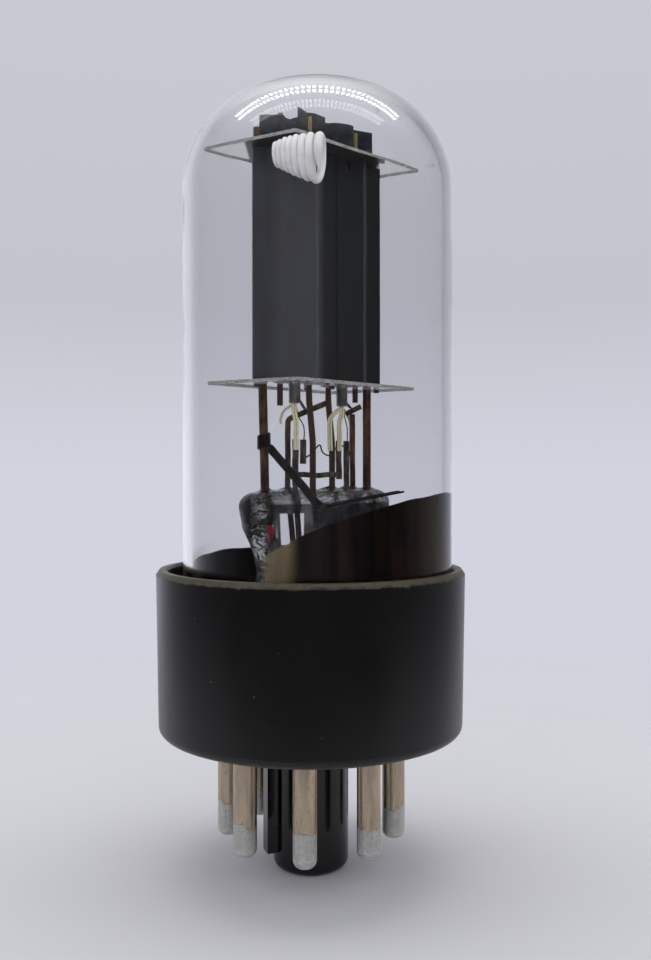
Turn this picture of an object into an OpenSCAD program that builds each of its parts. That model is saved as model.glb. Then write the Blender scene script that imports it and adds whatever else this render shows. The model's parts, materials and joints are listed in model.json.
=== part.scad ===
// Octal-base double triode in a tubular glass bulb.
// Millimetres, +Z up. The origin is the centre of the locating spigot's lower face;
// +X is to the right and +Y points away from someone who faces the tube.

/* [Base] */
// Outer diameter of the base at its rim
base_top_d = 32.3; // [31.5:0.1:33]
// Outer diameter of the base at its lower edge
base_low_d = 31.8; // [31:0.1:32.5]
// Height of the base's underside above the spigot's tip
base_low_z = 14.5; // [13:0.1:16]
// Height of the base's rim above the spigot's tip
rim_z = 31.4; // [30:0.1:34]
// Thickness of the base's side wall at the rim
base_wall = 1.2; // [1:0.05:1.3]
// Thickness of the base's floor
floor_t = 2.5; // [2:0.1:3]
// Diameter of the locating spigot
spigot_d = 7.92; // [7.6:0.01:8]
// Radius that the key ridge reaches from the axis
key_r = 5.0; // [4.6:0.05:5.2]
// Width of the key ridge
key_w = 1.6; // [1.2:0.1:2]
// Direction of the key ridge, counted from the +X axis
key_turn = 199.5; // [0:0.5:360]

/* [Contact pins] */
// Diameter of the circle that the pins stand on
pin_circle_d = 17.45; // [17.3:0.01:17.6]
// Diameter of a pin
pin_d = 2.36; // [2.3:0.01:2.4]
// Height of the pin tips above the spigot's tip
pin_tip_z = 3.0; // [2:0.1:4]
// Direction of pin 1, counted from the +X axis
pin_turn = -138; // [-180:0.5:180]

/* [Bulb] */
// Outer diameter of the bulb
bulb_d = 28.2; // [27.8:0.05:28.3]
// Thickness of the bulb's glass
bulb_wall = 0.95; // [0.8:0.05:1.1]
// Height of the crown above the spigot's tip
crown_z = 81.8; // [81:0.1:84]
// Radius of the bulb's shoulder
shoulder_r = 10.4; // [8:0.1:11]
// Radius of the bulb's crown
crown_r = 21; // [18:0.5:24]
// How far the bulb stands to the right of the base's axis
bulb_x = 0.7; // [0:0.05:0.7]

/* [Cage] */
// Turn of the electrode units about the vertical
cage_turn = 20; // [18:1:22]
// Height of the lower mica's upper face
mica_low_z = 50.7; // [50:0.1:52]
// Height of the upper mica's lower face
mica_top_z = 74.2; // [73.8:0.1:74.4]
// Thickness of a mica
mica_t = 0.35; // [0.2:0.05:0.35]
// Width of an anode across its flanges
anode_w = 8.8; // [8.6:0.1:8.9]
// How far an anode's chamber swells from its flange
anode_swell = 2.4; // [2.2:0.1:2.5]
// Thickness of the anode sheet
sheet_t = 0.2; // [0.15:0.01:0.2]
// Diameter of a cathode sleeve
cathode_d = 1.2; // [1:0.05:1.25]
// Diameter of a support rod
support_d = 0.9; // [0.8:0.05:0.9]
// Diameter of a grid rod
grid_rod_d = 0.6; // [0.5:0.05:0.6]
// Pitch of the grid windings
grid_pitch = 0.6; // [0.5:0.1:1]

/* [Stem] */
// Height of the pinch's upper edge
pinch_z = 39.8; // [39.5:0.1:40]
// Thickness of the pinch
pinch_t = 4.6; // [4.6:0.1:5]
// Length of the pinch between the centres of its round ends
pinch_w = 13.2; // [13:0.1:13.4]
// Turn of the pinch about the vertical
pinch_turn = 33; // [32:0.5:34]

/* [Hidden] */
$fn = 64;
gap = 0.02;                                 // play between a piece and its hole
bulb_r = bulb_d / 2;
bulb_in_r = bulb_r - bulb_wall;
base_in_r = base_top_d / 2 - base_wall;
floor_z = base_low_z + floor_t;
bulb_low_z = 19.5;                          // lower edge of the bulb, inside the base
cement_top_z = 29.3;
pin_r = pin_d / 2;
pin_circle_r = pin_circle_d / 2;
grip_r = pin_r + 0.17;                      // a pin's neck, inside the base's floor
solder_top_z = pin_tip_z + 1.1;
collar_t = 0.4;                             // flange of a pin on the base's floor
mica_up_z = mica_top_z + mica_t;
fin_low_z = mica_up_z + 0.5;                // the fins stand just clear of the mica
cathode_r = cathode_d / 2;
grid_r = grid_rod_d / 2;
grid_half = 1.55;                           // half the distance between a grid's rods
rod_v = sheet_t + support_d / 2 + 0.01;     // a support rod lies behind the flange
cage_c = [0.85, -0.9];                      // middle of the two units
unit_shift = [2.45, 2.4];                   // from the middle to the right unit
pinch_c = [0.75, -0.3];
seal_top_z = 38;                            // upper end of the wire seals
seal_low_z = 34.6;
tube_top_z = 31.5;                          // underside of the pinch, inside the stem
converge = 0.75;                            // the leads draw together under the pinch
stem_r = 6.5;
exhaust_c = [0.35, 0];
exhaust_r = 1.9;
lead_r = 0.28;
wire_r = 0.3;
LEFT = -1;
RIGHT = 1;

// ---- points and paths ------------------------------------------------------------

function polar(r, a) = [r * cos(a), r * sin(a)];
function turned(p, a) = [p[0] * cos(a) - p[1] * sin(a), p[0] * sin(a) + p[1] * cos(a)];

// A unit's own (u, v) to the tube's (x, y): u runs along its flanges, v to the back.
function unit_c(side) = cage_c + side * unit_shift;
function unit_at(side, u, v) = unit_c(side) + turned([u, v], cage_turn);
function unit_point(side, p) = let (q = unit_at(side, p[0], p[1])) [q[0], q[1], p[2]];

function pin_at(i) = polar(pin_circle_r, pin_turn + 45 * (i - 1));

// Outline of a sheet of thickness t that follows a path.
function unit_vec(v) = v / norm(v);
function side_of(a, b) = let (d = unit_vec(b - a)) [-d[1], d[0]];
function shifted(p, i, h) =
    i == 0 ? p[0] + h * side_of(p[0], p[1])
    : i == len(p) - 1 ? p[i] + h * side_of(p[i - 1], p[i])
    : let (m = side_of(p[i - 1], p[i]), n = unit_vec(m + side_of(p[i], p[i + 1])))
        p[i] + h / (n * m) * n;
function ribbon(p, t) = concat(
    [for (i = [0 : len(p) - 1]) shifted(p, i, t / 2)],
    [for (i = [len(p) - 1 : -1 : 0]) shifted(p, i, -t / 2)]);

// A straight round rod between two points.
module rod(a, b, r) {
    d = b - a;
    translate(a)
        rotate([0, acos(d[2] / norm(d)), atan2(d[1], d[0])])
            cylinder(h = norm(d), r = r);
}

// A flat bar between two points: w wide across the path, t thick.
module bar(a, b, w, t) {
    d = b - a;
    translate(a)
        rotate([0, acos(d[2] / norm(d)), atan2(d[1], d[0])])
            translate([-t / 2, -w / 2, 0])
                cube([t, w, norm(d)]);
}

// The path with each inner corner drawn as a short curve that starts `reach` before it.
function eased(path, reach) = concat(
    [path[0]],
    [for (i = [1 : len(path) - 2], k = [0 : 4])
        let (p = path[i],
             a = p + min(reach, norm(path[i - 1] - p) / 2.1) * unit_vec(path[i - 1] - p),
             b = p + min(reach, norm(path[i + 1] - p) / 2.1) * unit_vec(path[i + 1] - p),
             t = k / 4)
            (1 - t) ^ 2 * a + 2 * t * (1 - t) * p + t ^ 2 * b],
    [path[len(path) - 1]]);

// A wire of radius r swept along a path. Each ring's frame is carried on from the last.
module swept(path, r, sides = 12) {
    n = len(path);
    ahead = [for (i = [0 : n - 1]) unit_vec(path[min(i + 1, n - 1)] - path[max(i - 1, 0)])];
    function level(e, t) = unit_vec(e - (e * t) * t);
    start = level(abs(ahead[0][2]) > 0.9 ? [1, 0, 0] : [0, 0, 1], ahead[0]);
    across = [for (i = 0, e = start; i < n; i = i + 1, e = level(e, ahead[min(i, n - 1)])) e];
    points = [for (i = [0 : n - 1], k = [0 : sides - 1])
        let (a = 360 * k / sides)
            path[i] + r * (cos(a) * across[i] + sin(a) * cross(ahead[i], across[i]))];
    skin = [for (i = [0 : n - 2], k = [0 : sides - 1])
        let (m = (k + 1) % sides)
            [i * sides + m, i * sides + k, (i + 1) * sides + k, (i + 1) * sides + m]];
    first = [for (k = [0 : sides - 1]) k];
    last = [for (k = [sides - 1 : -1 : 0]) (n - 1) * sides + k];
    polyhedron(points, concat([first], skin, [last]));
}

module bent_rod(path, r, reach = 0.8) {
    swept(eased(path, reach), r);
}

module at_unit(side) {
    translate([unit_c(side)[0], unit_c(side)[1], 0]) rotate([0, 0, cage_turn]) children();
}

// ---- base ------------------------------------------------------------------------

module base_shell() {
    edge = 0.9;
    low_r = base_low_d / 2;
    top_r = base_top_d / 2;
    corner = [for (a = [-90 : 15 : 0])
        [low_r - edge + edge * cos(a), base_low_z + edge + edge * sin(a)]];
    color([0.045, 0.043, 0.045])
        difference() {
            union() {
                rotate_extrude($fn = 128)
                    polygon(concat(
                        [[0, base_low_z]], corner,
                        [[top_r, rim_z - 0.5], [top_r - 0.35, rim_z],
                         [base_in_r + 0.2, rim_z], [base_in_r, rim_z - 0.25],
                         [base_in_r, floor_z], [0, floor_z]]));
                rotate_extrude()
                    polygon(concat(
                        [[0, floor_z], [0, 0]],
                        [for (a = [-90 : 15 : 0])
                            [spigot_d / 2 - 0.9 + 0.9 * cos(a), 0.9 + 0.9 * sin(a)]],
                        [[spigot_d / 2, floor_z]]));
                rotate([0, 0, key_turn])
                    translate([spigot_d / 2 - 1, -key_w / 2, 1.9])
                        cube([key_r - spigot_d / 2 + 1, key_w, base_low_z - 1.4]);
            }
            translate([0, 0, 1.8]) cylinder(h = floor_z, r = 2.7);
            for (i = [1 : 8])
                translate([pin_at(i)[0], pin_at(i)[1], base_low_z - 1])
                    cylinder(h = floor_t + 2, r = grip_r);
        }
}

// Pins are drawn tubes: solder closes the tip, and the thick neck is gripped by the floor.
module contact_pin(i) {
    color([0.62, 0.60, 0.56])
        translate([pin_at(i)[0], pin_at(i)[1], 0])
            difference() {
                union() {
                    translate([0, 0, solder_top_z])
                        cylinder(h = base_low_z - solder_top_z, r = pin_r);
                    translate([0, 0, base_low_z]) cylinder(h = floor_t, r = grip_r);
                    translate([0, 0, floor_z]) cylinder(h = collar_t, r = grip_r + 0.3);
                }
                translate([0, 0, solder_top_z - 1]) cylinder(h = 20, r = 0.8);
            }
}

module pin_solder_tips() {
    plug_top_z = solder_top_z + 1.6;
    round_r = 0.85;
    color([0.74, 0.74, 0.73])
        for (i = [1 : 8])
            translate([pin_at(i)[0], pin_at(i)[1], 0])
                difference() {
                    union() {
                        rotate_extrude()
                            polygon(concat(
                                [[0, solder_top_z], [0, pin_tip_z]],
                                [for (a = [-90 : 15 : 0])
                                    [pin_r - round_r + round_r * cos(a),
                                     pin_tip_z + round_r + round_r * sin(a)]],
                                [[pin_r, solder_top_z]]));
                        translate([0, 0, solder_top_z - 0.2])
                            cylinder(h = plug_top_z - solder_top_z + 0.2, r = 0.8);
                    }
                    translate([0, 0, solder_top_z]) cylinder(h = 5, r = wire_r);
                }
}

module base_cement() {
    color([0.34, 0.29, 0.22])
        difference() {
            translate([0, 0, bulb_low_z])
                cylinder(h = cement_top_z - bulb_low_z, r = base_in_r);
            translate([bulb_x, 0, bulb_low_z - 1]) cylinder(h = 20, r = bulb_r);
        }
}

// ---- glass -----------------------------------------------------------------------

// Half of the bulb's outline: a straight wall, a shoulder arc and a crown arc.
function bulb_outline(inset) =
    let (reach = bulb_r - shoulder_r,
         rise = sqrt((crown_r - shoulder_r) ^ 2 - reach ^ 2),
         meet = atan2(rise, reach),
         hub_z = crown_z - crown_r + rise)
    concat(
        [[0, bulb_low_z], [bulb_r - inset, bulb_low_z]],
        [for (i = [0 : 10])
            [reach, hub_z] + (shoulder_r - inset) * [cos(meet * i / 10), sin(meet * i / 10)]],
        [for (i = [1 : 8])
            let (a = meet + (90 - meet) * i / 8)
                [0, crown_z - crown_r] + (crown_r - inset) * [i == 8 ? 0 : cos(a), sin(a)]]);

module glass_bulb() {
    color([0.86, 0.9, 0.92, 0.3])
        translate([bulb_x, 0, 0])
            difference() {
                rotate_extrude($fn = 128) polygon(bulb_outline(0));
                difference() {
                    rotate_extrude($fn = 128) polygon(bulb_outline(bulb_wall));
                    translate([0, 0, bulb_low_z - 10]) cylinder(h = 9.9, r = 20);
                }
                translate([0, 0, bulb_low_z - 1]) cylinder(h = 2, r = bulb_in_r);
            }
}

// The flare that is fused to the bulb, its tube, and the flat pinch that holds the leads.
module glass_stem() {
    wall = 0.9;
    rim_r = bulb_in_r;
    hub = [rim_r, bulb_low_z + 1 + rim_r - stem_r];   // centre of the flare's sweep
    sweep = rim_r - stem_r;
    color([0.82, 0.86, 0.86, 0.45])
        difference() {
            union() {
                translate([bulb_x, 0, 0])
                    rotate_extrude($fn = 96)
                        polygon(concat(
                            [[rim_r, bulb_low_z]],
                            [for (a = [90 : -9 : 0]) hub - sweep * [cos(a), sin(a)]],
                            [[stem_r, tube_top_z + 3.2], [0, tube_top_z + 3.2],
                             [0, tube_top_z], [stem_r - wall, tube_top_z]],
                            [for (a = [0 : 9 : 81])
                                hub - (sweep + wall) * [cos(a), sin(a)]],
                            [[rim_r - 0.8, bulb_low_z]]));
                pinch();
            }
            for (lead = SEALED) bore_for(lead);
            for (side = [LEFT, RIGHT])
                rod(support_end(side, pinch_z + 1), support_end(side, seal_top_z),
                    support_d / 2);
        }
}

// A straight bore that runs on a little past both ends of a lead's way through the glass.
module bore_for(lead) {
    a = in_pinch(lead, lead[2]);
    b = in_pinch(lead, tube_top_z);
    rod(a + 0.2 * unit_vec(a - b), b + unit_vec(b - a), wire_r);
}

// The pinch is wide at the top and narrows into the tube.
module pinch() {
    half = pinch_w / 2;
    end_r = pinch_t / 2;
    translate([pinch_c[0], pinch_c[1], 0])
        rotate([0, 0, pinch_turn])
            intersection() {
                translate([0, 0, 30])
                    linear_extrude(pinch_z - 30)
                        polygon([for (s = [1, -1], a = [-90 : 10 : 90])
                            s * ([half, 0] + polar(end_r, a))]);
                translate([0, 10, 0])
                    rotate([90, 0, 0])
                        linear_extrude(20)
                            polygon([[-5.6, 33], [-half - end_r, 37], [-half - end_r, 39.2],
                                     [-half - end_r + 0.7, pinch_z],
                                     [half + end_r - 0.7, pinch_z], [half + end_r, 39.2],
                                     [half + end_r, 37], [5.6, 33]]);
            }
}

module exhaust_tube() {
    tip_z = 6;
    color([0.82, 0.86, 0.86, 0.45])
        translate([exhaust_c[0], exhaust_c[1], 0])
            rotate_extrude()
                polygon(concat(
                    [[0, tip_z], [0.5, tip_z + 0.1], [1.2, tip_z + 1],
                     [exhaust_r, tip_z + 2.4], [exhaust_r, tube_top_z],
                     [exhaust_r - 0.6, tube_top_z], [exhaust_r - 0.6, tip_z + 2.8],
                     [0.5, tip_z + 1.6], [0, tip_z + 1.4]]));
}

// ---- leads through the pinch -----------------------------------------------------

// Where each lead stands on the pinch, the base pin it runs to, and where it starts to lean.
SEALED = [
    [support_foot(LEFT), 2, seal_top_z],       // left anode
    [[-2.34, -2.1], 3, pinch_z],               // left cathode
    [unit_at(LEFT, -0.05, -0.4), 8, pinch_z],  // heater
    [[0.24, -2.74], 1, pinch_z],               // left grid
    [[2.24, 0.94], 4, pinch_z],                // right grid
    [unit_at(RIGHT, 0.6, 0.2), 7, pinch_z],    // heater
    [[4.48, 2.75], 6, pinch_z],                // right cathode
    [support_foot(RIGHT), 5, seal_top_z]       // right anode
];

// A lead is upright above the pinch and leans to the tube's axis inside it.
function in_pinch(lead, z) =
    let (top = lead[2],
         t = max(0, (top - z) / (top - tube_top_z)),
         p = pinch_c + (1 - t * (1 - converge)) * (lead[0] - pinch_c))
    [p[0], p[1], z];

// A lead from its seal up to the pinch's edge, and on along its own path.
function from_seal(lead, path) = concat(
    [in_pinch(lead, seal_top_z), [lead[0][0], lead[0][1], pinch_z]], path);

module dumet_seals() {
    color([0.72, 0.16, 0.10])
        for (lead = SEALED)
            rod(in_pinch(lead, seal_low_z), in_pinch(lead, seal_top_z), wire_r);
}

// The wire from a seal to its pin, inside the stem, the base and the pin.
module base_wire(i) {
    lead = SEALED[i - 1];
    pin = pin_at(lead[1]);
    bend_z = [23.6, 27.4, 22.8, 25.4, 23.6, 25.4, 27.4, 22.8][i - 1];
    top = in_pinch(lead, tube_top_z);
    color([0.66, 0.42, 0.26])
        bent_rod([in_pinch(lead, seal_low_z), top,
                  [0.97 * top[0], 0.97 * top[1], bend_z],
                  [pin[0], pin[1], 19.2], [pin[0], pin[1], solder_top_z]], wire_r);
}

// ---- cage ------------------------------------------------------------------------

// The left support rod leans a little, the right one is upright.
function support_end(side, z) =
    let (u = side == LEFT ? -3.75 + 0.85 * (76.4 - z) / 38.4 : 3.2)
    unit_point(side, [u, rod_v, z]);
function support_foot(side) =
    let (p = support_end(side, seal_top_z)) [p[0], p[1]];

module support_rod(side) {
    color([0.35, 0.20, 0.13])
        rod(support_end(side, seal_top_z), support_end(side, 76.4), support_d / 2);
}

// Both micas have the same outline; the lower one is a little smaller.
module mica(z, size) {
    middle = [0.5, 0.15];
    front = [-1.2, -8.9] - middle;
    tip = [11.9, 3.9] - middle;
    side = [for (s = [1, -1])
        each [s * (front + 0.12 * (-tip - front)), s * (front + 0.02 * (-tip - front)),
              s * (front + 0.05 * (tip - front)), s * tip]];
    color([0.72, 0.70, 0.66, 0.5])
        difference() {
            intersection() {
                translate([middle[0], middle[1], z])
                    linear_extrude(mica_t) scale(size) polygon(side);
                translate([bulb_x, 0, z - 1]) cylinder(h = 3, r = 12.25);
            }
            for (s = [LEFT, RIGHT]) {
                translate(unit_point(s, [0, 0, z - 1])) cylinder(h = 3, r = cathode_r + gap);
                for (e = [-1, 1])
                    translate(unit_point(s, [e * grid_half, 0, z - 1]))
                        cylinder(h = 3, r = grid_r + gap);
                rod(support_end(s, z - 1), support_end(s, z + 2), support_d / 2 + gap);
                at_unit(s)
                    for (e = [-1, 1])
                        translate([e * 4 - 0.3, -sheet_t - gap, z - 1])
                            cube([0.6, sheet_t + 2 * gap, 3]);
            }
        }
}

// How far the chamber stands off the flange at u, from 0 to 1.
function swell(u, flat, foot) =
    abs(u) < flat ? 1
    : abs(u) > foot ? 0
    : 0.5 + 0.5 * cos(180 * (abs(u) - flat) / (foot - flat));

// Front (-1) or back (+1) half of an anode. The halves meet on the flanges.
module anode_half(side, face) {
    foot = face < 0 ? 3.1 : 2.6;
    flat = face < 0 ? 1.3 : 1.2;
    half = anode_w / 2;
    path = [for (i = [-36 : 36])
        let (u = half * i / 36)
            [u, face * (sheet_t / 2 + anode_swell * swell(u, flat, foot)
                * (1 - 0.012 * min(u * u, 4)))]];
    color([0.10, 0.10, 0.11])
        at_unit(side)
            difference() {
                union() {
                    translate([0, 0, mica_low_z])
                        linear_extrude(mica_top_z - mica_low_z)
                            polygon(ribbon(path, sheet_t));
                    if (face < 0)
                        for (e = [-1, 1], tab = [[mica_low_z - 0.7, 0.8], [mica_top_z - 0.1, 1.2]])
                            translate([e * 4 - 0.28, -sheet_t, tab[0]])
                                cube([0.56, sheet_t, tab[1]]);
                }
                for (w = [[-1.95, 0.25], [-0.42, 0.46]])
                    translate([w[0], face < 0 ? -4 : 1, mica_top_z - 1.3])
                        cube([w[1], 3, 0.9]);
            }
}

module cathode(side) {
    color([0.55, 0.54, 0.52])
        translate(unit_point(side, [0, 0, 48.5]))
            difference() {
                cylinder(h = mica_up_z + 0.35 - 48.5, r = cathode_r);
                translate([0, 0, -1]) cylinder(h = 40, r = cathode_r - 0.1);
            }
}

// Where the two ends of a heater meet their tapes, in the unit's own (u, v).
function tape_foot(side) = side == LEFT ? [[-0.05, -0.4], [1.0, 0.3]] : [[-0.5, -0.4], [0.6, 0.2]];

// One coated wire: up the sleeve, down and round as a loop below it, up and out again.
module heater(side) {
    feet = tape_foot(side);
    v = 0.25;
    top = mica_top_z - 1;
    loop = [for (a = [180 : 30 : 360]) [v * cos(a), 0, 47.95 + v * sin(a)]];
    path = concat(
        [[feet[0][0], feet[0][1] - 0.18, 43.6], [feet[0][0], feet[0][1] - 0.18, 46.2],
         [0, -v, 48], [0, -v, top - 0.3], [-v / 2, -v / 2, top], [-v, 0, top - 0.3]],
        loop,
        [[v, 0, top - 0.3], [v / 2, v / 2, top], [0, v, top - 0.3], [0, v, 48],
         [feet[1][0], feet[1][1] + 0.18, 46.2], [feet[1][0], feet[1][1] + 0.18, 43.6]]);
    color([0.88, 0.85, 0.74]) swept([for (p = path) unit_point(side, p)], 0.11, 8);
}

module heater_tapes(side) {
    feet = tape_foot(side);
    outer = side == LEFT ? 0 : 1;        // this one runs into the pinch as the lead
    color([0.42, 0.39, 0.35])
        for (k = [0, 1])
            let (p = feet[k], low = side == LEFT ? 42.3 : 40.7,
                 lead = side == LEFT ? SEALED[2] : SEALED[5]) {
                if (k == outer)
                    bent_rod(from_seal(lead, [unit_point(side, [p[0], p[1], pinch_z + 0.9])]),
                             lead_r, 0.2);
                translate(unit_point(side, [p[0], p[1], k == outer ? pinch_z + 0.3 : low]))
                    rotate([0, 0, cage_turn])
                        translate([-0.3, -0.06, 0])
                            cube([0.6, 0.12, 44.8 - (k == outer ? pinch_z + 0.3 : low)]);
            }
}

// Joins the two inner tapes in front of the grid leads.
module heater_link_bar() {
    a = unit_point(LEFT, [tape_foot(LEFT)[0][0], tape_foot(LEFT)[0][1] + 0.2, 41.15]);
    b = unit_point(RIGHT, [tape_foot(RIGHT)[0][0], tape_foot(RIGHT)[0][1] - 0.2, 41.15]);
    color([0.40, 0.35, 0.30]) bar(a, b, 0.2, 0.5);
}

module heater_link_wire() {
    a = unit_point(LEFT, [tape_foot(LEFT)[1][0], tape_foot(LEFT)[1][1] + 0.18, 42.7]);
    b = unit_point(RIGHT, [tape_foot(RIGHT)[1][0], tape_foot(RIGHT)[1][1] + 0.18, 43.0]);
    color([0.25, 0.24, 0.24])
        bent_rod([a, [0.3, -1.5, 42.9], [1.3, 0.2, 43.4], [1.9, 1.9, 43.8], [3.0, 2.5, 43.6], b],
                 0.1);
}

// ---- grids and their cooling fins ------------------------------------------------

// The outer grid rods are cut short under the lower mica, the inner ones run on as leads.
module grid_rod(side, end) {
    top = unit_point(side, [end * grid_half, 0, 78]);
    low = [top[0], top[1], side == LEFT && end == LEFT ? 48.2 : 48.9];
    lead = side == LEFT ? SEALED[3] : SEALED[4];
    color([0.72, 0.52, 0.25])
        if (side == end)
            rod(low, top, grid_r);
        else
            bent_rod(from_seal(lead, [[lead[0][0], lead[0][1], 44.6], low, top]), grid_r, 0.3);
}

module grid_winding(side) {
    steps = 12;
    low = 53;
    turns = floor(19 / grid_pitch);
    half_u = grid_half + grid_r + 0.07;
    half_v = 0.95;
    color([0.66, 0.62, 0.55])
        at_unit(side)
            swept([for (i = [0 : turns * steps])
                let (a = 360 * i / steps)
                    [half_u * cos(a), half_v * sin(a), low + grid_pitch * i / steps]],
                0.05, 4);
}

// A sheet fin above the upper mica: its path seen from above and its edge seen from the front.
module fin(side, path, edge) {
    color([0.13, 0.13, 0.15])
        at_unit(side)
            intersection() {
                translate([0, 0, mica_up_z]) linear_extrude(8) polygon(ribbon(path, sheet_t));
                translate([0, 5, 0]) rotate([90, 0, 0]) linear_extrude(10) polygon(edge);
            }
}

module left_grid_fin_left() {
    fin(LEFT, [[-3.65, 0.36], [-1.62, -0.44], [-1.35, -0.44], [-0.6, -0.22], [0.25, 0.6]],
        [[-4, fin_low_z], [1, fin_low_z], [1, 77.3], [-1.1, 77.4], [-1.3, 77.6], [-3.4, 77.7],
         [-4, 77.6]]);
}

module left_grid_fin_right() {
    fin(LEFT, [[-1.36, -0.99], [0.3, -0.78], [0.95, -0.5], [1.12, -0.12], [1.15, 0.3],
               [1.35, 0.41], [3.43, 0.41]],
        concat([[-2, fin_low_z], [4, fin_low_z], [4, 78.3], [3.43, 78.35], [2.3, 78.65],
                [1.14, 78.6]],
               [for (a = [10 : 10 : 90]) [1.0 - 2.4 * sin(a), 76 + 1.6 * cos(a)]]));
    fin(LEFT, [[0.5, 0.62], [1.2, 0.41], [1.4, 0.41]],
        [[0.4, fin_low_z], [1.4, fin_low_z], [1.4, 78.55], [0.4, 79.4]]);
}

module right_grid_fin_left() {
    fin(RIGHT, concat([[-2.7, -0.42], [-1.5, -0.42]],
                      [for (a = [20 : 20 : 160]) [-0.2 - 1.3 * cos(a), -0.45 - 0.4 * sin(a)]],
                      [[1.15, -0.45]]),
        [[-3, fin_low_z], [1.2, fin_low_z], [1.2, 78.6], [-3, 78.6]]);
}

module right_grid_fin_right() {
    fin(RIGHT, [[1.2, 0.41], [5.2, 0.41]],
        [[1, fin_low_z], [5.3, fin_low_z], [5.3, 75.6], [3.75, 75.9], [3.75, 78.5], [1, 78.6]]);
}

// ---- cathode leads and tabs ------------------------------------------------------

module left_cathode_lead() {
    p = SEALED[1][0];
    color([0.33, 0.21, 0.15])
        bent_rod(from_seal(SEALED[1], [[p[0], p[1], 46.9], [1.7, -2.05, 48.6]]), lead_r, 0.4);
}

module right_cathode_lead() {
    p = SEALED[6][0];
    color([0.33, 0.21, 0.15]) {
        bent_rod(from_seal(SEALED[6], [[p[0], p[1], 47.9]]), lead_r, 0.4);
        rod([3.72, p[1], 47.72], [5.3, p[1], 48.5], lead_r - 0.02);
    }
}

module cathode_tab(side) {
    a = unit_point(side, [0.45, 0.55, 49.2]);
    b = side == LEFT ? [-0.6, -2.05, 47.97] : [4.3, 2.72, 48.36];
    color([0.22, 0.21, 0.21]) bar(a, b, 0.45, 0.08);
}

// ---- getter ----------------------------------------------------------------------

getter_bend = [1.2, -8.0, 37.9];
getter_end = [8.75, -5.1, 39.25];

module getter_strap() {
    ring_z = 43.7;
    c = support_end(LEFT, ring_z + 0.8);
    color([0.26, 0.26, 0.27]) {
        difference() {
            translate([c[0], c[1], ring_z]) cylinder(h = 1.6, r = support_d / 2 + 0.2);
            rod(support_end(LEFT, ring_z - 1), support_end(LEFT, ring_z + 3),
                support_d / 2 + gap);
        }
        bar([c[0], c[1] - support_d / 2 - 0.12, 44.4], getter_bend, 0.16, 0.85);
    }
}

module getter_trough() {
    along = unit_vec(getter_end - getter_bend);
    tilt = acos(along[2]);
    turn = atan2(along[1], along[0]);
    size = norm(getter_end - getter_bend);
    color([0.24, 0.24, 0.25])
        translate(getter_bend + [0.3, 0, 0.18])
            rotate([0, 0, turn])
                rotate([0, tilt - 90, 0])
                    difference() {
                        translate([0, -0.8, -0.1]) cube([size, 1.6, 0.3]);
                        translate([0.15, -0.65, -0.2]) cube([size - 0.3, 1.3, 0.3]);
                    }
}

// The metal mirror that the getter leaves on the glass: a film with a slanting upper edge.
module getter_flash() {
    film = 0.05;
    color([0.10, 0.07, 0.05, 0.9])
        intersection() {
            translate([bulb_x, 0, 24])
                difference() {
                    cylinder(h = 20, r = bulb_in_r);
                    translate([0, 0, -1]) cylinder(h = 22, r = bulb_in_r - film);
                }
            translate([0, 0, 36.2])
                rotate([0, -19, 0])
                    rotate([6, 0, 0])
                        translate([-30, -30, -30]) cube([60, 60, 30]);
            translate([-4.5, -20, 20]) cube([30, 27, 30]);
        }
}

// White coiled spacer between the upper mica and the glass.
module mica_spring() {
    turns = 7.4;
    steps = 20;
    wire = 0.25;
    run = 5.26;
    turn = -28;
    from = [-3.2, -7.4, mica_top_z - 1.8];
    n = turns * steps;
    // Its coils grow, spread and sink towards its open end.
    color([0.90, 0.89, 0.85])
        translate(from)
            rotate([0, 0, turn])
                swept([for (i = [0 : n])
                    let (t = i / n, a = 90 + 360 * i / steps, r = 1.05 + 1.5 * t - 0.35 * t * t)
                        [run * (0.75 * t + 0.25 * t ^ 3),
                         r * (cos(a) - 0.2 * (1 - sin(a))),
                         r * sin(a) - 1.3 * t ^ 1.5]], wire, 8);
}

base_shell();
contact_pin(1);  // contact_pin_1
contact_pin(2);  // contact_pin_2
contact_pin(3);  // contact_pin_3
contact_pin(4);  // contact_pin_4
contact_pin(5);  // contact_pin_5
contact_pin(6);  // contact_pin_6
contact_pin(7);  // contact_pin_7
contact_pin(8);  // contact_pin_8
pin_solder_tips();
base_cement();
glass_bulb();
glass_stem();
exhaust_tube();
dumet_seals();
base_wire(1);  // base_wire_1
base_wire(2);  // base_wire_2
base_wire(3);  // base_wire_3
base_wire(4);  // base_wire_4
base_wire(5);  // base_wire_5
base_wire(6);  // base_wire_6
base_wire(7);  // base_wire_7
base_wire(8);  // base_wire_8
support_rod(LEFT);  // left_support_rod
support_rod(RIGHT);  // right_support_rod
mica(mica_top_z, 1);  // upper_mica
mica(mica_low_z - mica_t, 0.955);  // lower_mica
anode_half(LEFT, -1);  // left_anode_front
anode_half(LEFT, 1);  // left_anode_back
anode_half(RIGHT, -1);  // right_anode_front
anode_half(RIGHT, 1);  // right_anode_back
cathode(LEFT);  // left_cathode
cathode(RIGHT);  // right_cathode
heater(LEFT);  // left_heater
heater(RIGHT);  // right_heater
heater_tapes(LEFT);  // left_heater_tapes
heater_tapes(RIGHT);  // right_heater_tapes
heater_link_bar();
heater_link_wire();
grid_winding(LEFT);  // left_grid_winding
grid_winding(RIGHT);  // right_grid_winding
grid_rod(LEFT, -1);  // left_grid_rod_left
grid_rod(LEFT, 1);  // left_grid_rod_right
grid_rod(RIGHT, -1);  // right_grid_rod_left
grid_rod(RIGHT, 1);  // right_grid_rod_right
left_grid_fin_left();
left_grid_fin_right();
right_grid_fin_left();
right_grid_fin_right();
left_cathode_lead();
right_cathode_lead();
cathode_tab(LEFT);  // left_cathode_tab
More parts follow.
